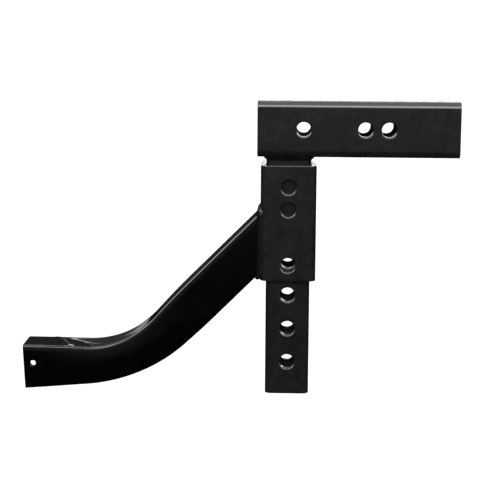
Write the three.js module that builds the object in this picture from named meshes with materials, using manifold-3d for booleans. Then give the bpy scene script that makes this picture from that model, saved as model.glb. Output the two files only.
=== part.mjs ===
// Height-adjustable hitch bar, built from square steel tube.
//
// A receiver-size head tube is welded across the top of a drilled post. A drilled sleeve slides up and
// down the post, and a bent arm is welded to the sleeve's side. A hitch pin through sleeve and post,
// which is not part of this object, would set the height.
//
// Millimetres, +Z up. X runs along the head tube, Y runs through the pin holes.
// Inside `bar` the post's axis is x = 0 and its foot is z = 0.

import * as THREE from 'three';
import { mergeVertices } from 'three/addons/utils/BufferGeometryUtils.js';
import Module from 'manifold-3d';

const wasm = await Module();
wasm.setup();

// ---- driving dimensions -------------------------------------------------------------------------

const GAP = 0.3; // clear space kept between pieces that are welded together
const CUT = 5; // how far cutters run past the faces that they cut
const CORNER_STEPS = 5; // facets in each quarter-round tube corner
const HOLE_STEPS = 32; // facets round a pin hole

const PIN_HOLE = 16.6; // clearance hole for a 5/8 in hitch pin

const HEAD = { side: 63.5, wall: 6, corner: 8, length: 228.6 }; // 2 1/2 in tube, takes a 2 in shank
const HEAD_LEFT = -35.9; // the head tube's left end, measured from the post's axis
const HEAD_HOLES = [52.4, 121.9, 148.4]; // pin holes, measured from the left end

const POST = { side: 50.4, wall: 6.35, corner: 7, length: 275.5 }; // 2 in tube, 1/4 in wall
const POST_FIRST_HOLE = 38.2; // height of the lowest pin hole
const POST_HOLE_PITCH = 39.3;
const POST_HOLE_COUNT = 4;

const SLEEVE = { side: 63.5, corner: 8, length: 132.4 }; // 2 1/2 in tube
const BORE_PLAY = 0.6; // clearance of the sleeve's bore round the post, on each side
const SLEEVE_FOOT = 133.7; // height of the sleeve's lower end
const SLEEVE_HOLES = [18.5, 82.5, 108.1]; // pin holes, measured from the sleeve's lower end

const ARM = { side: 50.8, wall: 4.8, corner: 7 }; // 2 in tube, 3/16 in wall
const ARM_SLANT = THREE.MathUtils.degToRad(45); // slope of the arm where it leaves the sleeve
const ARM_END_TILT = THREE.MathUtils.degToRad(2.7); // slope of the arm's outer end
const ARM_ROOT_HEIGHT = 177.1; // where the arm's centre line meets the sleeve's face
const ARM_TIP = { x: -304.8, z: 1.2 }; // lower edge of the arm's open end
const ARM_BEND_RADIUS = 154; // of the centre line

// What bending did to the arm, with distances measured along it from its open end.
const ARM_PRESSED_TOP = { depth: 4.4, start: 8, end: 229 };
const ARM_PRESSED_FLOOR = { depth: 3.3, start: -24, end: 240 };
const ARM_FLARE = { height: 1.6, end: 50 }; // the open end's upper wall stands up
const ARM_CRISP = 0.65; // how far its corners are squared up
const ARM_TROUGH = { depth: 9, start: 32, end: 205 }; // dent pressed into the inside of the bend
const ARM_TROUGH_SIDES = { start: 0.55, end: 0.88 }; // its side slopes, as shares of half the width
const ARM_BULGE = 1.6; // how far the flattened section's sides spread
const ARM_STEPS = 28; // facets along the arm; the last one is the whole straight slant
const TIP_HOLE = { diameter: 6.4, x: -295.3, z: 32.2 }; // hanging hole in the front wall
const TIP_NOTCH = { depth: 6.5, height: 9, z: 19.5 }; // notch in the far wall's end

// Fillet welds: their run along the welded-on tube, their reach out from it where they are widest,
// and how much further the underside's pass reaches.
const POST_WELD = { run: 5, reach: 5.6, below: 0 };
const ARM_WELD = { run: 8, reach: 5.8, below: 0.35 };
const WELD_TOE = 0.9; // thickness of a weld where it runs out

// ---- materials ----------------------------------------------------------------------------------

const framePaint = new THREE.MeshStandardMaterial({ color: 0x1c1c1e, roughness: 0.42, metalness: 0.1 });
const armPaint = new THREE.MeshStandardMaterial({ color: 0x0c0c0d, roughness: 0.3, metalness: 0.1 });
const weldPaint = new THREE.MeshStandardMaterial({ color: 0x18181a, roughness: 0.5, metalness: 0.1 });

// ---- joining and cutting ------------------------------------------------------------------------

function solidOf(geometry) {
  const bare = new THREE.BufferGeometry();
  bare.setAttribute('position', geometry.getAttribute('position').clone());
  if (geometry.index) bare.setIndex(geometry.index.clone());
  const merged = mergeVertices(bare, 1e-4);
  return new wasm.Manifold(new wasm.Mesh({
    numProp: 3,
    vertProperties: new Float32Array(merged.getAttribute('position').array),
    triVerts: new Uint32Array(merged.index.array),
  }));
}

function geometryOf(solid) {
  const mesh = solid.getMesh();
  const geometry = new THREE.BufferGeometry();
  geometry.setAttribute('position', new THREE.BufferAttribute(new Float32Array(mesh.vertProperties), 3));
  geometry.setIndex(new THREE.BufferAttribute(new Uint32Array(mesh.triVerts), 1));
  geometry.computeVertexNormals();
  return geometry;
}

function cutAll(geometry, cutters) {
  return geometryOf(cutters.reduce((solid, cutter) => solid.subtract(solidOf(cutter)), solidOf(geometry)));
}

// ---- shapes -------------------------------------------------------------------------------------

function roundedRectangle(width, height, radius, Kind = THREE.Shape) {
  const outline = new Kind();
  const x = width / 2 - radius;
  const y = height / 2 - radius;
  outline.moveTo(x + radius, -y);
  outline.absarc(x, y, radius, 0, Math.PI / 2);
  outline.absarc(-x, y, radius, Math.PI / 2, Math.PI);
  outline.absarc(-x, -y, radius, Math.PI, 1.5 * Math.PI);
  outline.absarc(x, -y, radius, 1.5 * Math.PI, 2 * Math.PI);
  outline.closePath();
  return outline;
}

function ring(outer, inner, depth, steps = 1) {
  const shape = roundedRectangle(outer.width, outer.height, outer.radius);
  shape.holes.push(roundedRectangle(inner.width, inner.height, inner.radius, THREE.Path));
  return new THREE.ExtrudeGeometry(shape, { depth, steps, bevelEnabled: false, curveSegments: CORNER_STEPS });
}

// A square tube standing on z = 0.
function squareTube({ side, wall, corner, length }) {
  const bore = side - 2 * wall;
  return ring(
    { width: side, height: side, radius: corner },
    { width: bore, height: bore, radius: corner - wall },
    length,
  );
}

function solidBar(side, corner, length) {
  const shape = roundedRectangle(side, side, corner);
  return new THREE.ExtrudeGeometry(shape, { depth: length, bevelEnabled: false, curveSegments: CORNER_STEPS });
}

// A cutter for a hole along Y.
function crossDrill(diameter, span, x, z, y = 0) {
  const drill = new THREE.CylinderGeometry(diameter / 2, diameter / 2, span, HOLE_STEPS);
  return drill.translate(x, y, z);
}

function named(name, geometry, material) {
  const mesh = new THREE.Mesh(geometry, material);
  mesh.name = name;
  return mesh;
}

// ---- head tube and post -------------------------------------------------------------------------

const headBottom = POST.length + GAP;
const headMiddle = headBottom + HEAD.side / 2;

function layAlongX(geometry, left, height) {
  return geometry.rotateZ(Math.PI / 2).rotateY(Math.PI / 2).translate(left, 0, height);
}

function headTube() {
  const tube = layAlongX(squareTube(HEAD), HEAD_LEFT, headMiddle);
  return cutAll(tube, HEAD_HOLES.map(
    (along) => crossDrill(PIN_HOLE, HEAD.side + 2 * CUT, HEAD_LEFT + along, headMiddle),
  ));
}

function postTube() {
  const heights = Array.from({ length: POST_HOLE_COUNT }, (_, i) => POST_FIRST_HOLE + i * POST_HOLE_PITCH);
  return cutAll(squareTube(POST), heights.map(
    (height) => crossDrill(PIN_HOLE, POST.side + 2 * CUT, 0, height),
  ));
}

// ---- sleeve -------------------------------------------------------------------------------------

function heightSleeve() {
  const bore = POST.side + 2 * BORE_PLAY;
  const tube = ring(
    { width: SLEEVE.side, height: SLEEVE.side, radius: SLEEVE.corner },
    { width: bore, height: bore, radius: POST.corner - 2 * BORE_PLAY },
    SLEEVE.length,
  ).translate(0, 0, SLEEVE_FOOT);
  return cutAll(tube, SLEEVE_HOLES.map(
    (height) => crossDrill(PIN_HOLE, SLEEVE.side + 2 * CUT, 0, SLEEVE_FOOT + height),
  ));
}

// ---- bent arm -----------------------------------------------------------------------------------

// The centre line runs from the open end along the tilted end stretch, round the bend and up the slant.
const sleeveFace = -SLEEVE.side / 2;
const armFace = sleeveFace - GAP;
const tip = new THREE.Vector2(
  ARM_TIP.x - Math.sin(ARM_END_TILT) * ARM.side / 2,
  ARM_TIP.z + Math.cos(ARM_END_TILT) * ARM.side / 2,
);
const endWay = new THREE.Vector2(Math.cos(ARM_END_TILT), Math.sin(ARM_END_TILT));
const slantWay = new THREE.Vector2(Math.cos(ARM_SLANT), Math.sin(ARM_SLANT));
const root = new THREE.Vector2(sleeveFace, ARM_ROOT_HEIGHT);
const toRoot = root.clone().sub(tip);
const kneeAlong = toRoot.cross(slantWay) / endWay.cross(slantWay);
const bendAngle = ARM_SLANT - ARM_END_TILT;
const bendReach = ARM_BEND_RADIUS * Math.tan(bendAngle / 2);
const bendStart = kneeAlong - bendReach;
const bendLength = ARM_BEND_RADIUS * bendAngle;
const bendEnd = bendStart + bendLength;
const knee = tip.clone().addScaledVector(endWay, kneeAlong);
const slantStart = knee.clone().addScaledVector(slantWay, bendReach);
const slantLength = root.distanceTo(slantStart);
const armLength = bendEnd + slantLength;

// Centre point and upward normal of the arm's section at a distance along its centre line.
function armSection(along) {
  const turn = THREE.MathUtils.clamp((along - bendStart) / bendLength, 0, 1) * bendAngle;
  const heading = ARM_END_TILT + turn;
  const up = new THREE.Vector2(-Math.sin(heading), Math.cos(heading));
  const centre = tip.clone().addScaledVector(endWay, Math.min(along, bendStart));
  if (along > bendStart) {
    const startUp = new THREE.Vector2(-endWay.y, endWay.x);
    centre.addScaledVector(startUp, ARM_BEND_RADIUS).addScaledVector(up, -ARM_BEND_RADIUS);
  }
  if (along > bendEnd) {
    centre.addScaledVector(slantWay, along - bendEnd);
  }
  return { centre, up };
}

function bump(along, { start, end }) {
  const share = THREE.MathUtils.clamp((along - start) / (end - start), 0, 1);
  return Math.sin(Math.PI * share) ** 2;
}

// How far the upper wall (upShare 1) or the lower wall (upShare -1) is pressed towards the centre line.
function pressedIn(upShare, along) {
  if (upShare < 0) return ARM_PRESSED_FLOOR.depth * bump(along, ARM_PRESSED_FLOOR);
  const flare = ARM_FLARE.height * Math.max(0, 1 - along / ARM_FLARE.end) ** 2;
  return ARM_PRESSED_TOP.depth * bump(along, ARM_PRESSED_TOP) - flare;
}

// Moves a point of a straight tube (across, up, along) onto the pressed and dented arm.
function bendPoint(across, up, along) {
  const half = ARM.side / 2;
  const flat = half - ARM.corner;
  const pastAcross = Math.max(0, Math.abs(across) - flat);
  const pastUp = Math.max(0, Math.abs(up) - flat);
  const farthest = Math.max(pastAcross, pastUp, 1e-9);
  const grow = ARM_CRISP * Math.max(0, Math.hypot(pastAcross, pastUp) / farthest - 1);
  const squareAcross = across + Math.sign(across) * pastAcross * grow;
  const squareUp = up + Math.sign(up) * pastUp * grow;

  const upShare = squareUp / half;
  const acrossShare = squareAcross / half;
  const pressed = squareUp - upShare * pressedIn(upShare, along);
  const spread = squareAcross
    + acrossShare * bump(along, ARM_PRESSED_FLOOR) * ARM_BULGE * (1 - upShare * upShare);
  const slope = THREE.MathUtils.smoothstep(
    Math.abs(acrossShare), ARM_TROUGH_SIDES.start, ARM_TROUGH_SIDES.end,
  );
  const trough = ARM_TROUGH.depth * bump(along, ARM_TROUGH) * (1 - slope);
  const dented = pressed - trough * THREE.MathUtils.clamp(up / flat, 0, 1);
  const { centre, up: normal } = armSection(along);
  let x = centre.x + normal.x * dented;
  let z = centre.y + normal.y * dented;
  if (along > bendEnd) {
    const share = (along - bendEnd) / slantLength;
    const startX = slantStart.x + normal.x * dented;
    const startZ = slantStart.y + normal.y * dented;
    const reach = (armFace - startX) / slantWay.x * share;
    x = startX + slantWay.x * reach;
    z = startZ + slantWay.y * reach;
  }
  return [x, spread, z];
}

// The tube's section, with extra points across its upper wall, where the dent is.
function armOutline(side, radius, Kind) {
  const outline = new Kind();
  const flat = side / 2 - radius;
  const topPoints = 12;
  outline.moveTo(flat + radius, -flat);
  outline.absarc(flat, flat, radius, 0, Math.PI / 2);
  for (let i = 1; i < topPoints; i += 1) {
    outline.lineTo(flat - (2 * flat * i) / topPoints, flat + radius);
  }
  outline.absarc(-flat, flat, radius, Math.PI / 2, Math.PI);
  outline.absarc(-flat, -flat, radius, Math.PI, 1.5 * Math.PI);
  outline.absarc(flat, -flat, radius, 1.5 * Math.PI, 2 * Math.PI);
  outline.closePath();
  return outline;
}

function bentArm() {
  const shape = armOutline(ARM.side, ARM.corner, THREE.Shape);
  shape.holes.push(armOutline(ARM.side - 2 * ARM.wall, ARM.corner - ARM.wall, THREE.Path));
  const straight = new THREE.ExtrudeGeometry(shape, {
    depth: ARM_STEPS,
    steps: ARM_STEPS,
    bevelEnabled: false,
    curveSegments: CORNER_STEPS,
  });
  const position = straight.getAttribute('position');
  for (let i = 0; i < position.count; i += 1) {
    const step = Math.round(position.getZ(i));
    const along = step === ARM_STEPS ? armLength : (bendEnd * step) / (ARM_STEPS - 1);
    position.setXYZ(i, ...bendPoint(position.getX(i), position.getY(i), along));
  }
  const hole = crossDrill(TIP_HOLE.diameter, ARM.side / 2, TIP_HOLE.x, TIP_HOLE.z, -ARM.side / 2);
  const notch = new THREE.BoxGeometry(2 * TIP_NOTCH.depth, 2 * CUT + ARM.wall, TIP_NOTCH.height);
  notch.translate(ARM_TIP.x, (ARM.side - ARM.wall) / 2, TIP_NOTCH.z);
  return cutAll(straight, [hole, notch]);
}

// ---- welds --------------------------------------------------------------------------------------

// A fillet round a square tube of the given side. Its toe is at z = 0, and it widens upwards, past the
// face that it is welded to at z = run.
function filletRing(side, radius, { run, reach, below }) {
  const grown = (by) => ({ width: side + 2 * by, height: side + 2 * by, radius: radius + by });
  const depth = run + CUT;
  const bead = ring(grown(reach), grown(GAP), depth);
  const position = bead.getAttribute('position');
  const core = side / 2 - radius;
  for (let i = 0; i < position.count; i += 1) {
    const x = position.getX(i);
    const y = position.getY(i);
    const nearX = THREE.MathUtils.clamp(x, -core, core);
    const nearY = THREE.MathUtils.clamp(y, -core, core);
    const out = new THREE.Vector2(x - nearX, y - nearY);
    if (out.length() > radius + reach / 2) {
      const downward = Math.max(0, -out.y / out.length());
      const widest = reach * (1 + below * downward);
      out.setLength(radius + THREE.MathUtils.lerp(WELD_TOE, widest, position.getZ(i) / depth));
      position.setXY(i, nearX + out.x, nearY + out.y);
    }
  }
  return bead;
}

// One quarter of the plane round +X, turned by whole quarters, to part a ring into its four passes.
function quarterWedge(quarter, depth) {
  const far = 100;
  const apex = GAP / Math.SQRT2;
  const outline = new THREE.Shape();
  outline.moveTo(apex, 0);
  outline.lineTo(far + apex, -far);
  outline.lineTo(far + apex, far);
  outline.closePath();
  const wedge = new THREE.ExtrudeGeometry(outline, { depth, bevelEnabled: false });
  return wedge.rotateZ(quarter * Math.PI / 2);
}

// The four passes of a fillet: cut apart, put in place, and cut to the tube that they are welded to.
function weldPasses(prefix, sides, ringGeometry, depth, place, neighbour) {
  const whole = solidOf(ringGeometry);
  const neighbourSolid = solidOf(neighbour);
  return sides.map((side, quarter) => {
    const pass = geometryOf(whole.intersect(solidOf(quarterWedge(quarter, depth))));
    place(pass);
    const bead = geometryOf(solidOf(pass).subtract(neighbourSolid));
    return named(`${prefix}_${side}`, bead, weldPaint);
  });
}

function postWelds() {
  const place = (geometry) => geometry.translate(0, 0, headBottom - POST_WELD.run);
  const head = solidBar(HEAD.side + 2 * GAP, HEAD.corner + GAP, HEAD.length);
  return weldPasses(
    'post_weld',
    ['right', 'back', 'left', 'front'],
    filletRing(POST.side, POST.corner, POST_WELD),
    POST_WELD.run + CUT,
    place,
    layAlongX(head, HEAD_LEFT, headMiddle),
  );
}

function armWelds() {
  const stretch = 1 / Math.cos(ARM_SLANT); // the slanted section, seen on the sleeve's upright face
  const place = (geometry) => {
    const position = geometry.getAttribute('position');
    for (let i = 0; i < position.count; i += 1) {
      const out = position.getZ(i) - ARM_WELD.run;
      position.setXYZ(
        i,
        sleeveFace + out,
        position.getX(i),
        ARM_ROOT_HEIGHT + position.getY(i) * stretch + out * Math.tan(ARM_SLANT),
      );
    }
  };
  const sleeve = solidBar(SLEEVE.side + 2 * GAP, SLEEVE.corner + GAP, SLEEVE.length + 2 * CUT);
  return weldPasses(
    'arm_weld',
    ['back', 'upper', 'front', 'lower'],
    filletRing(ARM.side, ARM.corner * (1 - ARM_CRISP), ARM_WELD),
    ARM_WELD.run + CUT,
    place,
    sleeve.translate(0, 0, SLEEVE_FOOT - CUT),
  );
}

// ---- the whole bar ------------------------------------------------------------------------------

const carrier = new THREE.Group();
carrier.add(
  named('head_tube', headTube(), framePaint),
  named('post_tube', postTube(), framePaint),
  ...postWelds(),
);

const slider = new THREE.Group();
slider.add(
  named('height_sleeve', heightSleeve(), framePaint),
  named('bent_arm', bentArm(), armPaint),
  ...armWelds(),
);

// The origin is under the middle of the whole object.
const leftmost = ARM_TIP.x - Math.sin(ARM_END_TILT) * (ARM.side + ARM_FLARE.height);
const rightmost = HEAD_LEFT + HEAD.length;
const bar = new THREE.Group();
bar.position.x = -(leftmost + rightmost) / 2;
bar.add(carrier, slider);

const hitchBar = new THREE.Group();
hitchBar.add(bar);

export default hitchBar;
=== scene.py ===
"""Looks of the height-adjustable hitch bar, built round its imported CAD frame.

Metres, in the CAD frame. Inside the functions a tube's own axes are `across` (through the pin
holes, front to back), `up` and `along`.
"""

import math

import bmesh
import bpy
from mathutils import Matrix, Vector, noise


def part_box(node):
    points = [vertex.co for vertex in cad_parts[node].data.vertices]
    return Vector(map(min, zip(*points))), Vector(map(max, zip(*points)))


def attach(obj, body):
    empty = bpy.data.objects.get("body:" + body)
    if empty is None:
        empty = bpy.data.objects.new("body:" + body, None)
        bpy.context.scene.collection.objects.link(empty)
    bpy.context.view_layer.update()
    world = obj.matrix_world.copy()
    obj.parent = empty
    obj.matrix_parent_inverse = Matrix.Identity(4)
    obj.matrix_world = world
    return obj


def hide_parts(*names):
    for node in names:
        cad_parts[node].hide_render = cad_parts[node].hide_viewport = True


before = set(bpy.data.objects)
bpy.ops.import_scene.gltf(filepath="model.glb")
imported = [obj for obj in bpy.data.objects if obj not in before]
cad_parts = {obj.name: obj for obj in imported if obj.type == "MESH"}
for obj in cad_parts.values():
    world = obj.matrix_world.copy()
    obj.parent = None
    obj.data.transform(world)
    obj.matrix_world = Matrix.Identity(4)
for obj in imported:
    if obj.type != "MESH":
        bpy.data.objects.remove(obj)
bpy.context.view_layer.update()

MM = 0.001

# ---- sizes that the frame gives -----------------------------------------------------------------

head_low, head_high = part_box("head_tube")
post_low, post_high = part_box("post_tube")
sleeve_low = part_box("height_sleeve")[0]
post_x = (post_low.x + post_high.x) / 2
head_middle = (head_low.z + head_high.z) / 2

# ---- sizes in millimetres, the same as the CAD source's ------------------------------------------

HEAD = {"side": 63.5, "wall": 6.0, "corner": 8.0, "length": 228.6}
POST = {"side": 50.4, "wall": 6.35, "corner": 7.0, "length": 275.5}
SLEEVE = {"side": 63.5, "wall": 5.95, "corner": 8.0, "length": 132.4}
ARM = {"side": 50.8, "wall": 4.8, "corner": 7.0}
PIN_HOLE = 16.6
HEAD_HOLES = (52.4, 121.9, 148.4)
POST_HOLES = (38.2, 77.5, 116.8, 156.1)
SLEEVE_HOLES = (18.5, 82.5, 108.1)

ARM_SLANT = math.radians(45)
ARM_END_TILT = math.radians(2.7)
ARM_ROOT_HEIGHT = 177.1
ARM_TIP = {"x": -304.8, "z": 1.2}
ARM_BEND_RADIUS = 154.0
ARM_PRESSED_TOP = {"depth": 4.4, "start": 8.0, "end": 229.0}
ARM_PRESSED_FLOOR = {"depth": 3.3, "start": -24.0, "end": 240.0}
ARM_FLARE = {"height": 1.6, "end": 50.0}
ARM_CRISP = 0.65
ARM_TROUGH = {"depth": 9.0, "start": 32.0, "end": 205.0}
ARM_TROUGH_SIDES = (0.55, 0.88)
ARM_BULGE = 1.6
TIP_HOLE = {"radius": 3.2, "x": -295.3, "z": 32.2}
TIP_NOTCH = {"depth": 6.5, "height": 9.0, "z": 19.5}
GAP = 0.3

# ---- sizes in millimetres that only the looks have ----------------------------------------------

CORNER_STEPS = 10
SAW_CUT_STEPS = 4
OUTER_LIP_STEPS = 6
INNER_LIP_STEPS = 3
NEAR_REPEAT = 1e-6
WELD_DISTANCE = 2e-7  # metres; vertices closer than this are one
SEAM_HALF_WIDTH = 1.7
SEAM_LINES = [-1.6, -0.8, 0.0, 0.8, 1.6]
SEAM_HEIGHT = 0.7
PIN_HOLE_RIM = {"radius": PIN_HOLE / 2, "lip": 1.6, "inner_lip": 0.5, "steps": 14}
TIP_HOLE_RIM = {"radius": TIP_HOLE["radius"], "lip": 0.7, "inner_lip": 0.3, "steps": 8}
SLANTWISE_FOLD = {"start": (19.0, 34.0), "end": (-16.0, 52.0), "height": 1.0, "width": 4.5}
LOW_FOLD = {"start": (9.0, 112.0), "end": (7.0, 136.0), "height": 0.9, "width": 3.5}
NOTCH_CORNER = 1.5

BEAD_SPACING = 0.45
BEAD_PROFILE_STEPS = 12
BEAD_BACK = 1.5
RIPPLE_PITCH = 2.6
RIPPLE_HEIGHT = 0.5
RIPPLE_LAG = 0.35
POST_BEAD = {"run": 4.4, "reach": 4.1, "crown": -0.35, "sink": 1.2}
ARM_BEAD = {"run": 6.2, "reach": 4.7, "crown": 1.0, "sink": 1.2, "below": 1.6, "below_run": 2.0}


# ---- tubes --------------------------------------------------------------------------------------


def spread(low, high, count):
    return [low + (high - low) * i / count for i in range(count + 1)]


def clean(values):
    """Sorted values, without near repeats."""
    kept = []
    for value in sorted(values):
        if not kept or value - kept[-1] > NEAR_REPEAT:
            kept.append(value)
    return kept


def stations(tube, holes, panel_steps, seam):
    """Lines that run along a tube, as (centre, direction, side of the tube, up, seam height)."""
    core = tube["side"] / 2 - tube["corner"]
    drilled = {-core, core}
    for hole in holes:
        drilled.update(spread(hole["up"] - hole["half"], hole["up"] + hole["half"], hole["steps"]))
    drilled = clean(drilled)
    top = spread(-core, core, panel_steps)
    lines = []

    def turn(across, up, start):
        for step in range(1, CORNER_STEPS):
            angle = start - math.pi / 2 * step / CORNER_STEPS
            way = (math.cos(angle), math.sin(angle))
            lines.append(((across, up), way, "corner", 0.0, 0.0))

    for up in drilled:
        lines.append(((-core, up), (-1.0, 0.0), "front", up, 0.0))
    turn(-core, core, math.pi)
    for across in top:
        lines.append(((across, core), (0.0, 1.0), "top", across, 0.0))
    turn(core, core, math.pi / 2)
    for up in reversed(drilled):
        lines.append(((core, up), (1.0, 0.0), "back", up, 0.0))
    turn(core, -core, 0.0)
    for across in reversed(clean(top + SEAM_LINES)):
        height = seam * max(0.0, 1 - (across / SEAM_HALF_WIDTH) ** 2)
        lines.append(((across, -core), (0.0, -1.0), "bottom", across, height))
    turn(-core, -core, -math.pi / 2)
    return lines


def end_round(wall, radius):
    """(depth, distance from the end) round the saw-cut end, from the outside to the inside."""
    outer = []
    for step in range(1, SAW_CUT_STEPS + 1):
        angle = math.pi / 2 * step / SAW_CUT_STEPS
        outer.append((radius * (1 - math.cos(angle)), radius * (1 - math.sin(angle))))
    return outer + [(wall - depth, far) for depth, far in reversed(outer)]


def tube_mesh(tube, length, holes, place, lines=(), panel_steps=4, end_radius=0.7, seam=0.0):
    """A square tube with rolled-in hole rims. place() takes (across, up, along) to the frame."""
    wall = tube["wall"]
    half_side = tube["side"] / 2
    mesh = bmesh.new()
    known = {}

    def vertex(across, up, along):
        key = (round(across, 5), round(up, 5), round(along, 5))
        if key not in known:
            known[key] = mesh.verts.new(place(across, up, along))
        return known[key]

    def quad(points, inside):
        corners = []
        for point in points:
            v = vertex(*point)
            if v not in corners:
                corners.append(v)
        if len(corners) > 2:
            made = mesh.faces.new(corners)
            made.smooth = True
            made.material_index = 1 if inside else 0

    alongs = {end_radius, length - end_radius, *lines}
    for hole in holes:
        centre, half = hole["along"], hole["half"]
        alongs.update(spread(centre - half, centre + half, hole["steps"]))
    alongs = clean(alongs)
    rounding = end_round(wall, end_radius)[:-1]
    profile = [(0.0, along, "outer") for along in alongs]
    profile += [(depth, length - far, "end") for depth, far in rounding]
    profile += [(wall, along, "inner") for along in reversed(alongs)]
    profile += [(depth, far, "end") for depth, far in reversed(rounding)]

    around = stations(tube, holes, panel_steps, seam)

    def at(line, point):
        (centre_across, centre_up), (way_across, way_up), _, _, ridge = line
        # The seam's ridge stands up inside the bore only.
        depth = point[0] + ridge * (point[0] / wall) ** 4
        reach = tube["corner"] - depth
        return (centre_across + way_across * reach, centre_up + way_up * reach, point[1])

    def drilled(line, following, point, after):
        if line[2] != following[2] or point[2] != after[2] or point[2] == "end":
            return False
        for hole in holes:
            if hole["face"] not in (line[2], "both") or line[2] not in ("front", "back"):
                continue
            limit = hole["half"] + NEAR_REPEAT
            sideways = max(abs(line[3] - hole["up"]), abs(following[3] - hole["up"]))
            lengthwise = max(abs(point[1] - hole["along"]), abs(after[1] - hole["along"]))
            if sideways <= limit and lengthwise < limit:
                return True
        return False

    for i, line in enumerate(around):
        following = around[(i + 1) % len(around)]
        for k, point in enumerate(profile):
            after = profile[(k + 1) % len(profile)]
            if drilled(line, following, point, after):
                continue
            inside = point[2] == "inner" and after[2] == "inner"
            patch = (at(line, point), at(line, after), at(following, after), at(following, point))
            quad(patch, inside)

    for hole in holes:
        faces = ("front", "back") if hole["face"] == "both" else (hole["face"],)
        for face in faces:
            sign = -1.0 if face == "front" else 1.0
            rings = hole_rings(hole, wall)
            for ring, further in zip(rings, rings[1:]):
                for k in range(len(ring)):
                    j = (k + 1) % len(ring)
                    points = [
                        (sign * (half_side - depth), up, along)
                        for up, along, depth in (ring[k], ring[j], further[j], further[k])
                    ]
                    deep = min(ring[k][2], further[k][2]) > wall - NEAR_REPEAT
                    quad(points, deep)

    bmesh.ops.remove_doubles(mesh, verts=mesh.verts, dist=WELD_DISTANCE)
    bmesh.ops.recalc_face_normals(mesh, faces=mesh.faces)
    return mesh


def hole_rings(hole, wall):
    """Rings of (up, along, depth) from the square round a hole, over its rim, through the wall."""
    half, steps = hole["half"], hole["steps"]
    count = 4 * steps
    ways = spread(-half, half, steps)
    square = [(w, -half) for w in ways[:-1]]
    square += [(half, w) for w in ways[:-1]]
    square += [(-w, half) for w in ways[:-1]]
    square += [(-half, -w) for w in ways[:-1]]

    def circle(radius, depth):
        made = []
        for k in range(count):
            angle = math.radians(-135) + 2 * math.pi * k / count
            up = hole["up"] + radius * math.cos(angle)
            along = hole["along"] + radius * math.sin(angle)
            made.append((up, along, depth))
        return made

    def flat(depth):
        return [(hole["up"] + u, hole["along"] + a, depth) for u, a in square]

    radius, lip, inner_lip = hole["radius"], hole["lip"], hole["inner_lip"]
    rings = [flat(0.0)]
    start = circle(radius + lip, 0.0)
    middle = [
        tuple((a + b) / 2 for a, b in zip(outer, inner)) for outer, inner in zip(rings[0], start)
    ]
    rings += [middle, start]
    for step in range(1, OUTER_LIP_STEPS + 1):
        angle = math.pi / 2 * step / OUTER_LIP_STEPS
        rings.append(circle(radius + lip * (1 - math.sin(angle)), lip * (1 - math.cos(angle))))
    rings.append(circle(radius, (lip + wall - inner_lip) / 2))
    for step in range(INNER_LIP_STEPS + 1):
        angle = math.pi / 2 * step / INNER_LIP_STEPS
        spot = radius + inner_lip * (1 - math.cos(angle))
        rings.append(circle(spot, wall - inner_lip * (1 - math.sin(angle))))
    rings.append(flat(wall))
    return rings


def pin_hole(along, half):
    return {"face": "both", "up": 0.0, "along": along, "half": half, **PIN_HOLE_RIM}


def piece(name, mesh, materials, body, stands_for, sharp_ends=True):
    data = bpy.data.meshes.new(name)
    mesh.to_mesh(data)
    mesh.free()
    made = bpy.data.objects.new(name, data)
    bpy.context.scene.collection.objects.link(made)
    for material in materials:
        data.materials.append(material)
    if sharp_ends:
        weighted = made.modifiers.new("even_shading", "WEIGHTED_NORMAL")
        weighted.weight = 80
    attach(made, body)
    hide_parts(*stands_for)
    return made


# ---- materials ----------------------------------------------------------------------------------


def nodes_of(name):
    material = bpy.data.materials.new(name)
    material.use_nodes = True
    tree = material.node_tree
    shader = tree.nodes["Principled BSDF"]
    return material, tree, shader


def noise_node(tree, coordinates, scale, detail=3.0, roughness=0.5):
    node = tree.nodes.new("ShaderNodeTexNoise")
    node.inputs["Scale"].default_value = scale
    node.inputs["Detail"].default_value = detail
    node.inputs["Roughness"].default_value = roughness
    tree.links.new(coordinates, node.inputs["Vector"])
    return node.outputs["Fac"]


def ramp(tree, value, stops):
    node = tree.nodes.new("ShaderNodeValToRGB")
    elements = node.color_ramp.elements
    while len(elements) < len(stops):
        elements.new(0.5)
    for element, (position, colour) in zip(elements, stops):
        element.position = position
        element.color = (*colour, 1.0)
    tree.links.new(value, node.inputs["Fac"])
    return node.outputs["Color"]


def span(tree, value, low, high):
    node = tree.nodes.new("ShaderNodeMapRange")
    node.inputs["From Min"].default_value = 0.3
    node.inputs["From Max"].default_value = 0.7
    node.inputs["To Min"].default_value = low
    node.inputs["To Max"].default_value = high
    tree.links.new(value, node.inputs["Value"])
    return node.outputs["Result"]


def bump(tree, height, distance, strength, under=None):
    node = tree.nodes.new("ShaderNodeBump")
    node.inputs["Distance"].default_value = distance
    node.inputs["Strength"].default_value = strength
    tree.links.new(height, node.inputs["Height"])
    if under is not None:
        tree.links.new(under, node.inputs["Normal"])
    return node.outputs["Normal"]


PAINTED_TOP_LIGHT_START = 0.08  # how much a surface faces up where the painted top light begins, and where it is full
PAINTED_TOP_LIGHT_FULL = 0.4


def grey(level):
    return (level, level, level)


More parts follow.
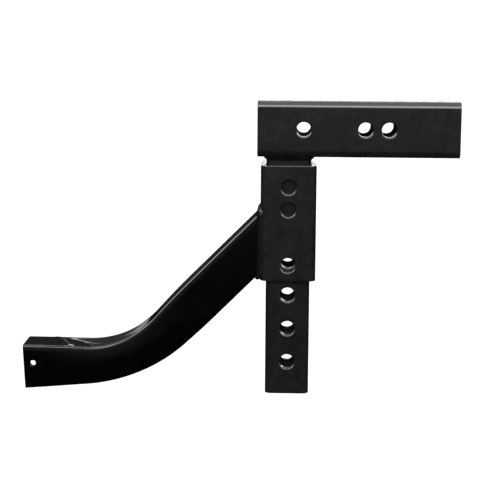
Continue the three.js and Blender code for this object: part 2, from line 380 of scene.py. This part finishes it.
def coat(name, dark, light, rough, gloss, peel, painted_top_light):
    """Black coat: mottled, uneven gloss, orange peel, powder grain, and a painted highlight: a
    lighter colour on what faces up, standing in for light from overhead.
    """
    material, tree, shader = nodes_of(name)
    coordinates = tree.nodes.new("ShaderNodeTexCoord").outputs["Object"]
    clouds = noise_node(tree, coordinates, 38.0, 4.0, 0.6)
    mottled = ramp(tree, clouds, [(0.32, dark), (0.72, light)])
    facing = tree.nodes.new("ShaderNodeSeparateXYZ")
    geometry = tree.nodes.new("ShaderNodeNewGeometry")
    tree.links.new(geometry.outputs["Normal"], facing.inputs["Vector"])
    # Painted highlight: the base colour is made lighter on surfaces that face up, standing in for
    # light from overhead.
    shares = [(PAINTED_TOP_LIGHT_START, grey(0.0)), (PAINTED_TOP_LIGHT_FULL, grey(painted_top_light))]
    painted_top_lit = tree.nodes.new("ShaderNodeVectorMath")
    tree.links.new(mottled, painted_top_lit.inputs[0])
    tree.links.new(ramp(tree, facing.outputs["Z"], shares), painted_top_lit.inputs[1])
    tree.links.new(painted_top_lit.outputs["Vector"], shader.inputs["Base Color"])
    scuffs = noise_node(tree, coordinates, 120.0, 5.0, 0.65)
    tree.links.new(span(tree, scuffs, rough - 0.05, rough + 0.07), shader.inputs["Roughness"])
    shader.inputs["Specular IOR Level"].default_value = gloss
    ripples = noise_node(tree, coordinates, 420.0, 2.0, 0.4)
    grain = noise_node(tree, coordinates, 1900.0, 2.0, 0.5)
    peeled = bump(tree, ripples, 0.0002, peel)
    tree.links.new(bump(tree, grain, 0.00005, 0.5 * peel, peeled), shader.inputs["Normal"])
    return material


def mill_scale(name):
    """Inside of the tubes: thin overspray over blue-grey scale, with a little rust bloom."""
    material, tree, shader = nodes_of(name)
    coordinates = tree.nodes.new("ShaderNodeTexCoord").outputs["Object"]
    clouds = noise_node(tree, coordinates, 60.0, 6.0, 0.7)
    colours = [
        (0.3, (0.012, 0.013, 0.015)), (0.6, (0.03, 0.029, 0.029)), (0.78, (0.07, 0.045, 0.03)),
    ]
    tree.links.new(ramp(tree, clouds, colours), shader.inputs["Base Color"])
    flakes = noise_node(tree, coordinates, 260.0, 5.0, 0.7)
    tree.links.new(span(tree, flakes, 0.5, 0.8), shader.inputs["Roughness"])
    shader.inputs["Specular IOR Level"].default_value = 0.3
    tree.links.new(bump(tree, flakes, 0.0003, 0.35), shader.inputs["Normal"])
    return material


# The last value of each coat is its painted highlight: how much lighter its up-facing surfaces are
# painted.
frame_coat = coat(
    "frame_coat", dark=(0.0018, 0.0018, 0.002), light=(0.0038, 0.0038, 0.0041), rough=0.22,
    gloss=0.5, peel=0.16, painted_top_light=0.022,
)
arm_coat = coat(
    "arm_coat", dark=(0.0001, 0.0001, 0.0001), light=(0.0005, 0.0005, 0.0006), rough=0.1,
    gloss=0.4, peel=0.06, painted_top_light=0.0,
)
weld_coat = coat(
    "weld_coat", dark=(0.0005, 0.0005, 0.0006), light=(0.0022, 0.0022, 0.0024), rough=0.24,
    gloss=0.3, peel=0.3, painted_top_light=0.002,
)
bore_scale = mill_scale("bore_scale")

# ---- the four tubes -----------------------------------------------------------------------------


def head_place(across, up, along):
    return Vector((head_low.x + along * MM, across * MM, head_middle + up * MM))


def upright_place(foot):
    # The tubes that stand up carry their seam on the side away from the arm.
    def place(across, up, along):
        return Vector((post_x - up * MM, across * MM, foot + along * MM))

    return place


head_mesh = tube_mesh(
    HEAD, HEAD["length"], [pin_hole(a, 12.0) for a in HEAD_HOLES], head_place,
    lines=[20.0, 35.0, 75.0, 90.0, 180.0, 200.0], seam=SEAM_HEIGHT,
)
piece("head_tube_skin", head_mesh, (frame_coat, bore_scale), "carrier", ["head_tube"])

post_mesh = tube_mesh(
    POST, POST["length"], [pin_hole(a, 11.5) for a in POST_HOLES], upright_place(post_low.z),
    lines=[12.0, 190.0, 215.0, 245.0], seam=SEAM_HEIGHT,
)
piece("post_tube_skin", post_mesh, (frame_coat, bore_scale), "carrier", ["post_tube"])

sleeve_mesh = tube_mesh(
    SLEEVE, SLEEVE["length"], [pin_hole(a, 11.5) for a in SLEEVE_HOLES],
    upright_place(sleeve_low.z), lines=[45.0, 60.0, 125.0],
)
piece(
    "height_sleeve_skin", sleeve_mesh, (frame_coat, bore_scale), "slider",
    ["height_sleeve"],
)

# ---- the bent arm -------------------------------------------------------------------------------

sleeve_face = -SLEEVE["side"] / 2
arm_face = sleeve_face - GAP
tip = Vector((
    ARM_TIP["x"] - math.sin(ARM_END_TILT) * ARM["side"] / 2,
    ARM_TIP["z"] + math.cos(ARM_END_TILT) * ARM["side"] / 2,
))
end_way = Vector((math.cos(ARM_END_TILT), math.sin(ARM_END_TILT)))
slant_way = Vector((math.cos(ARM_SLANT), math.sin(ARM_SLANT)))
root = Vector((sleeve_face, ARM_ROOT_HEIGHT))


def cross(a, b):
    return a.x * b.y - a.y * b.x


knee_along = cross(root - tip, slant_way) / cross(end_way, slant_way)
bend_angle = ARM_SLANT - ARM_END_TILT
bend_reach = ARM_BEND_RADIUS * math.tan(bend_angle / 2)
bend_start = knee_along - bend_reach
bend_length = ARM_BEND_RADIUS * bend_angle
bend_end = bend_start + bend_length
knee = tip + end_way * knee_along
slant_start = knee + slant_way * bend_reach
slant_length = (root - slant_start).length
arm_length = bend_end + slant_length


def arm_section(along):
    """Centre point and upward normal of the arm's section, up to the end of the bend."""
    turn = min(max((along - bend_start) / bend_length, 0.0), 1.0) * bend_angle
    heading = ARM_END_TILT + turn
    up = Vector((-math.sin(heading), math.cos(heading)))
    centre = tip + end_way * min(along, bend_start)
    if along > bend_start:
        start_up = Vector((-end_way.y, end_way.x))
        centre = centre + start_up * ARM_BEND_RADIUS - up * ARM_BEND_RADIUS
    return centre, up


def hump(along, stretch):
    share = (along - stretch["start"]) / (stretch["end"] - stretch["start"])
    return math.sin(math.pi * min(max(share, 0.0), 1.0)) ** 2


def smooth_step(value, low, high):
    share = min(max((value - low) / (high - low), 0.0), 1.0)
    return share * share * (3 - 2 * share)


def pressed_in(up_share, along):
    """How far the upper wall (up_share 1) or the lower wall (-1) is pressed in."""
    if up_share < 0:
        return ARM_PRESSED_FLOOR["depth"] * hump(along, ARM_PRESSED_FLOOR)
    flare = ARM_FLARE["height"] * max(0.0, 1 - along / ARM_FLARE["end"]) ** 2
    return ARM_PRESSED_TOP["depth"] * hump(along, ARM_PRESSED_TOP) - flare


def crease(across, along, fold):
    """Height of a raised fold between two (across, along) points."""
    start = Vector(fold["start"])
    way = Vector(fold["end"]) - start
    spot = Vector((across, along)) - start
    share = min(max(spot.dot(way) / way.length_squared, 0.0), 1.0)
    away = (spot - way * share).length
    return fold["height"] * math.exp(-((away / fold["width"]) ** 2))


def creases(across, along):
    """Folds that the bend has raised: one slantwise before the dent, one low in the dent."""
    return crease(across, along, SLANTWISE_FOLD) + crease(across, along, LOW_FOLD)


def arm_place(across, up, along):
    """Puts a point of a straight tube on the pressed and dented arm, in the CAD frame."""
    half = ARM["side"] / 2
    flat = half - ARM["corner"]
    past_across, past_up = max(0.0, abs(across) - flat), max(0.0, abs(up) - flat)
    farthest = max(past_across, past_up, 1e-9)
    grow = ARM_CRISP * max(0.0, math.hypot(past_across, past_up) / farthest - 1)
    square_across = across + math.copysign(past_across * grow, across)
    square_up = up + math.copysign(past_up * grow, up)
    up_share, across_share = square_up / half, square_across / half
    pressed = square_up - up_share * pressed_in(up_share, along)
    bulge = hump(along, ARM_PRESSED_FLOOR) * ARM_BULGE * (1 - up_share * up_share)
    wide = square_across + across_share * bulge
    valley = 1 - smooth_step(abs(across_share), *ARM_TROUGH_SIDES)
    trough = ARM_TROUGH["depth"] * hump(along, ARM_TROUGH) * valley
    dented = pressed + (creases(across, along) - trough) * min(max(up / flat, 0.0), 1.0)
    centre, normal = arm_section(along)
    x = centre.x + normal.x * dented
    z = centre.y + normal.y * dented
    if along > bend_end:
        share = (along - bend_end) / (arm_length - bend_end)
        start_x = slant_start.x + normal.x * dented
        start_z = slant_start.y + normal.y * dented
        reach = (arm_face - start_x) / slant_way.x * share
        x = start_x + slant_way.x * reach
        z = start_z + slant_way.y * reach
    return Vector((post_x + x * MM, wide * MM, z * MM))


offset = Vector((TIP_HOLE["x"], TIP_HOLE["z"])) - tip
tip_hole = {
    "face": "front", "up": cross(end_way, offset), "along": offset.dot(end_way), "half": 7.0,
    **TIP_HOLE_RIM,
}
arm_lines = spread(24.0, bend_end, 56) + spread(bend_end, arm_length, 12)[1:-1]
arm_mesh = tube_mesh(
    ARM, arm_length, [tip_hole], arm_place,
    lines=arm_lines, panel_steps=22, end_radius=0.6, seam=0.5,
)
arm = piece("bent_arm_skin", arm_mesh, (arm_coat, bore_scale), "slider", ["bent_arm"])


def notch_cutter():
    """A round-cornered block that notches the end of the arm's far wall."""
    mesh = bmesh.new()
    bmesh.ops.create_cube(mesh, size=1.0)
    size = (2 * TIP_NOTCH["depth"], 3 * ARM["wall"], TIP_NOTCH["height"])
    bmesh.ops.scale(mesh, vec=Vector(size) * MM, verts=mesh.verts)
    spot = Vector((ARM_TIP["x"], (ARM["side"] - ARM["wall"]) / 2, TIP_NOTCH["z"])) * MM
    bmesh.ops.translate(mesh, vec=spot + Vector((post_x, 0, 0)), verts=mesh.verts)
    lengthwise = [e for e in mesh.edges if abs((e.verts[0].co - e.verts[1].co).y) > MM]
    bmesh.ops.bevel(mesh, geom=lengthwise, offset=NOTCH_CORNER * MM, segments=4, affect="EDGES")
    data = bpy.data.meshes.new("notch_cutter")
    mesh.to_mesh(data)
    mesh.free()
    made = bpy.data.objects.new("notch_cutter", data)
    bpy.context.scene.collection.objects.link(made)
    return made


cutter = notch_cutter()
cut = arm.modifiers.new("notch", "BOOLEAN")
cut.operation = "DIFFERENCE"
cut.object = cutter
arm.modifiers.move(1, 0)  # ahead of the shading
bpy.context.view_layer.objects.active = arm
bpy.ops.object.modifier_apply(modifier="notch")
bpy.data.objects.remove(cutter)

# ---- welds --------------------------------------------------------------------------------------


def smooth_noise(*place):
    return noise.noise(Vector(place))


def bead(name, ring, toes, crown, body, stands_for):
    """A weld bead swept round a closed ring. toes(k) gives its root and its two toes at ring[k]."""
    mesh = bmesh.new()
    rows = []
    travelled = 0.0
    total = sum((ring[k] - ring[k - 1]).length for k in range(len(ring)))
    ripples = round(total / RIPPLE_PITCH)
    for k in range(len(ring)):
        base, toe_a, toe_b, inner_a, inner_b = toes(k)
        travelled += (ring[k] - ring[k - 1]).length if k else 0.0
        middle = (toe_a + toe_b) / 2
        outward = (middle - base).normalized()
        row = [inner_a]
        for step in range(BEAD_PROFILE_STEPS + 1):
            t = step / BEAD_PROFILE_STEPS
            belly = math.sin(math.pi * t)
            phase = 2 * math.pi * (travelled / total * ripples + RIPPLE_LAG * belly)
            scallop = abs(math.cos(phase / 2))
            height = (crown + RIPPLE_HEIGHT * scallop) * belly
            row.append(toe_a.lerp(toe_b, t) + outward * height)
        row.append(inner_b)
        row.append(base - outward * BEAD_BACK)
        rows.append([mesh.verts.new(point * MM + Vector((post_x, 0, 0))) for point in row])
    for k, row in enumerate(rows):
        following = rows[(k + 1) % len(rows)]
        for j in range(len(row)):
            i = (j + 1) % len(row)
            made = mesh.faces.new((row[j], row[i], following[i], following[j]))
            made.smooth = True
    bmesh.ops.recalc_face_normals(mesh, faces=mesh.faces)
    return piece(name, mesh, (weld_coat,), body, stands_for, sharp_ends=False)


def rounded_ring(side, corner, spacing):
    """Points round a rounded square, as (core point, outward way)."""
    core = side / 2 - corner
    found = []
    ends = [(core, -core, 0), (core, core, 90), (-core, core, 180), (-core, -core, 270)]
    for across, up, facing in ends:
        way = math.radians(facing)
        along = Vector((-math.sin(way), math.cos(way)))
        count = max(2, round(2 * core / spacing))
        for k in range(count):
            found.append((Vector((across, up)) + along * (2 * core * k / count), way))
        turn = max(3, round(math.pi / 2 * (corner + 2) / spacing))
        final = Vector((across, up)) + along * 2 * core
        for k in range(turn):
            found.append((final, way + math.pi / 2 * k / turn))
    return [(point, Vector((math.cos(way), math.sin(way)))) for point, way in found]


def corner_drop(off_centre, tube):
    """How far a rounded tube's face has fallen away at this distance from its middle."""
    past = abs(off_centre) - (tube["side"] / 2 - tube["corner"])
    if past <= 0:
        return 0.0
    past = min(past, tube["corner"] - 0.2)
    return tube["corner"] - math.sqrt(tube["corner"] ** 2 - past ** 2)


post_ring = rounded_ring(POST["side"], POST["corner"], BEAD_SPACING)
head_bottom = head_low.z / MM


def post_point(k, out, z):
    core, way = post_ring[k]
    spot = core + way * (POST["corner"] + out)
    return Vector((spot.x, spot.y, z))


def post_toes(k):
    """Root, lower toe, upper toe, and the hidden edges behind the toes."""
    wander = smooth_noise(*(post_ring[k][1] * 2.2), 3.1)
    run = POST_BEAD["run"] + 0.5 * wander
    reach = POST_BEAD["reach"] - 0.6 * wander
    over = post_point(k, reach, 0.0)
    above = head_bottom + corner_drop(over.y, HEAD)
    return (
        post_point(k, 0.0, head_bottom),
        post_point(k, 0.0, head_bottom - run),
        Vector((over.x, over.y, above)),
        post_point(k, -1.0, head_bottom - run + 0.4),
        Vector((over.x, over.y, above + POST_BEAD["sink"])),
    )


bead(
    "post_weld_bead", [post_point(k, 2.0, head_bottom) for k in range(len(post_ring))], post_toes,
    POST_BEAD["crown"], "carrier",
    ["post_weld_right", "post_weld_back", "post_weld_left", "post_weld_front"],
)

root_corner = ARM["corner"] * (1 - ARM_CRISP)
arm_ring = rounded_ring(ARM["side"], root_corner, BEAD_SPACING)
stretch = 1 / math.cos(ARM_SLANT)


def arm_root_point(k):
    core, way = arm_ring[k]
    spot = core + way * root_corner
    return Vector((sleeve_face, spot.x, ARM_ROOT_HEIGHT + spot.y * stretch))


arm_roots = [arm_root_point(k) for k in range(len(arm_ring))]


def arm_toes(k):
    """Root, toe on the sleeve, toe on the arm, and the hidden edges behind the toes."""
    base = arm_roots[k]
    way = arm_ring[k][1]
    out = Vector((0.0, way.x, way.y / stretch)).normalized()
    wander = smooth_noise(*(way * 2.0), 8.4)
    low = max(0.0, -out.z)
    reach = ARM_BEAD["reach"] + 0.5 * wander + ARM_BEAD["below"] * low
    run = ARM_BEAD["run"] - 0.5 * wander + ARM_BEAD["below_run"] * low
    over = base + out * reach
    over.x = sleeve_face + corner_drop(over.y, SLEEVE)
    back = Vector((-slant_way.x, 0.0, -slant_way.y))
    on_arm = base + back * run
    return base, over, on_arm, over + Vector((ARM_BEAD["sink"], 0, 0)), on_arm - out


bead(
    "arm_weld_bead", arm_roots, arm_toes, ARM_BEAD["crown"], "slider",
    ["arm_weld_back", "arm_weld_upper", "arm_weld_front", "arm_weld_lower"],
)

# ---- floor, light and camera --------------------------------------------------------------------

FLOOR_REACH = 60.0
floor_data = bpy.data.meshes.new("floor")
floor_data.from_pydata(
    [(FLOOR_REACH * x, FLOOR_REACH * y, 0) for x, y in ((-1, -1), (1, -1), (1, 1), (-1, 1))],
    [], [(0, 1, 2, 3)],
)
floor = bpy.data.objects.new("floor", floor_data)
bpy.context.scene.collection.objects.link(floor)
floor_paper, _, floor_shader = nodes_of("floor_paper")
floor_shader.inputs["Base Color"].default_value = (0.8, 0.8, 0.8, 1.0)
floor_shader.inputs["Roughness"].default_value = 0.95
floor_shader.inputs["Emission Color"].default_value = (1.0, 1.0, 1.0, 1.0)
floor_shader.inputs["Emission Strength"].default_value = 0.3
floor_shader.inputs["Specular IOR Level"].default_value = 0.0
floor_data.materials.append(floor_paper)
# The floor lights the object. The camera doesn't see it, because the lowered arm hangs below it.
floor.visible_glossy = False
floor.visible_camera = False
floor.visible_shadow = False

world = bpy.data.worlds.new("studio")
bpy.context.scene.world = world
world.use_nodes = True
world_tree = world.node_tree
direction = world_tree.nodes.new("ShaderNodeTexCoord").outputs["Generated"]
split = world_tree.nodes.new("ShaderNodeSeparateXYZ")
world_tree.links.new(direction, split.inputs["Vector"])

# (height of the direction, brightness), on the near side and on the far side of the object.
NEAR_SKY = [
    (-1.0, 0.01), (-0.2, 0.01), (-0.12, 0.12), (0.0, 0.25), (0.1, 0.25), (0.3, 0.5), (0.36, 10.0),
    (0.6, 10.0), (0.7, 0.8), (1.0, 0.8),
]
FAR_SKY = [
    (-1.0, 0.02), (0.0, 0.03), (0.3, 0.05), (0.5, 0.1), (0.56, 5.0), (0.66, 5.0), (0.72, 0.5),
    (1.0, 0.8),
]
BRIGHTEST = 10.0
NEAR_SIDE_FADE = (-0.1, -0.3)
STRIP = {"height": 0.035, "half_height": 0.075, "side": 0.1, "half_width": 0.2, "level": 6.0}
BACKGROUND_LEVEL = 1.2


def math_node(operation, *values):
    node = world_tree.nodes.new("ShaderNodeMath")
    node.operation = operation
    for socket, value in zip(node.inputs, values):
        if isinstance(value, (int, float)):
            socket.default_value = value
        else:
            world_tree.links.new(value, socket)
    return node.outputs["Value"]


def ranged(value, low, high, to_low, to_high):
    node = world_tree.nodes.new("ShaderNodeMapRange")
    node.inputs["From Min"].default_value = low
    node.inputs["From Max"].default_value = high
    node.inputs["To Min"].default_value = to_low
    node.inputs["To Max"].default_value = to_high
    world_tree.links.new(value, node.inputs["Value"])
    return node.outputs["Result"]


def within(value, middle, half):
    off = math_node("ABSOLUTE", math_node("SUBTRACT", value, middle))
    return math_node("LESS_THAN", off, half)


def sky_light(levels, share):
    lifted = ranged(split.outputs["Z"], -1.0, 1.0, 0.0, 1.0)
    shades = [((height + 1) / 2, (level / BRIGHTEST,) * 3) for height, level in levels]
    node = world_tree.nodes.new("ShaderNodeBackground")
    world_tree.links.new(ramp(world_tree, lifted, shades), node.inputs["Color"])
    world_tree.links.new(math_node("MULTIPLY", share, BRIGHTEST), node.inputs["Strength"])
    return node.outputs["Background"]


def sum_of(first, second):
    node = world_tree.nodes.new("ShaderNodeAddShader")
    world_tree.links.new(first, node.inputs[0])
    world_tree.links.new(second, node.inputs[1])
    return node.outputs["Shader"]


near_share = ranged(split.outputs["Y"], *NEAR_SIDE_FADE, 0.0, 1.0)
far_share = math_node("SUBTRACT", 1.0, near_share)
sky = sum_of(sky_light(NEAR_SKY, near_share), sky_light(FAR_SKY, far_share))

# A low, narrow strip of light stands behind the object, and the camera sees plain white.
low = within(split.outputs["Z"], STRIP["height"], STRIP["half_height"])
narrow = within(split.outputs["X"], STRIP["side"], STRIP["half_width"])
behind = math_node("GREATER_THAN", split.outputs["Y"], 0.0)
strip = math_node("MULTIPLY", math_node("MULTIPLY", low, narrow), behind)
strip_light = world_tree.nodes.new("ShaderNodeBackground")
world_tree.links.new(math_node("MULTIPLY", strip, STRIP["level"]), strip_light.inputs["Strength"])
lit = sum_of(sky, strip_light.outputs["Background"])
plain = world_tree.nodes["Background"]
plain.inputs["Color"].default_value = (1.0, 1.0, 1.0, 1.0)
plain.inputs["Strength"].default_value = BACKGROUND_LEVEL
seen = world_tree.nodes.new("ShaderNodeLightPath")
choice = world_tree.nodes.new("ShaderNodeMixShader")
world_tree.links.new(seen.outputs["Is Camera Ray"], choice.inputs["Fac"])
world_tree.links.new(lit, choice.inputs[1])
world_tree.links.new(plain.outputs["Background"], choice.inputs[2])
world_surface = world_tree.nodes["World Output"].inputs["Surface"]
world_tree.links.new(choice.outputs["Shader"], world_surface)

bpy.context.scene.view_settings.view_transform = "Standard"

# Millimetres from the post's axis and the ground, and degrees.
CAMERA = {
    "place": (4.1, -1686.9, 445.5), "pitch": 9.4, "yaw": 1.695, "roll": 0.387, "lens": 106.68,
    "sensor": 36.0,
}
pitch, yaw, roll = (math.radians(CAMERA[k]) for k in ("pitch", "yaw", "roll"))
forward = Vector((
    -math.sin(yaw) * math.cos(pitch), math.cos(yaw) * math.cos(pitch), -math.sin(pitch),
))
right = forward.cross(Vector((0, 0, 1))).normalized()
above = right.cross(forward)
tilted_right = right * math.cos(roll) + above * math.sin(roll)
tilted_up = above * math.cos(roll) - right * math.sin(roll)
camera_data = bpy.data.cameras.new("camera")
camera_data.lens = CAMERA["lens"]
camera_data.sensor_width = CAMERA["sensor"]
camera = bpy.data.objects.new("camera", camera_data)
bpy.context.scene.collection.objects.link(camera)
turned = Matrix((tilted_right, tilted_up, -forward)).transposed().to_4x4()
stand = Vector(CAMERA["place"]) * MM + Vector((post_x, 0, 0))
camera.matrix_world = Matrix.Translation(stand) @ turned
bpy.context.scene.camera = camera
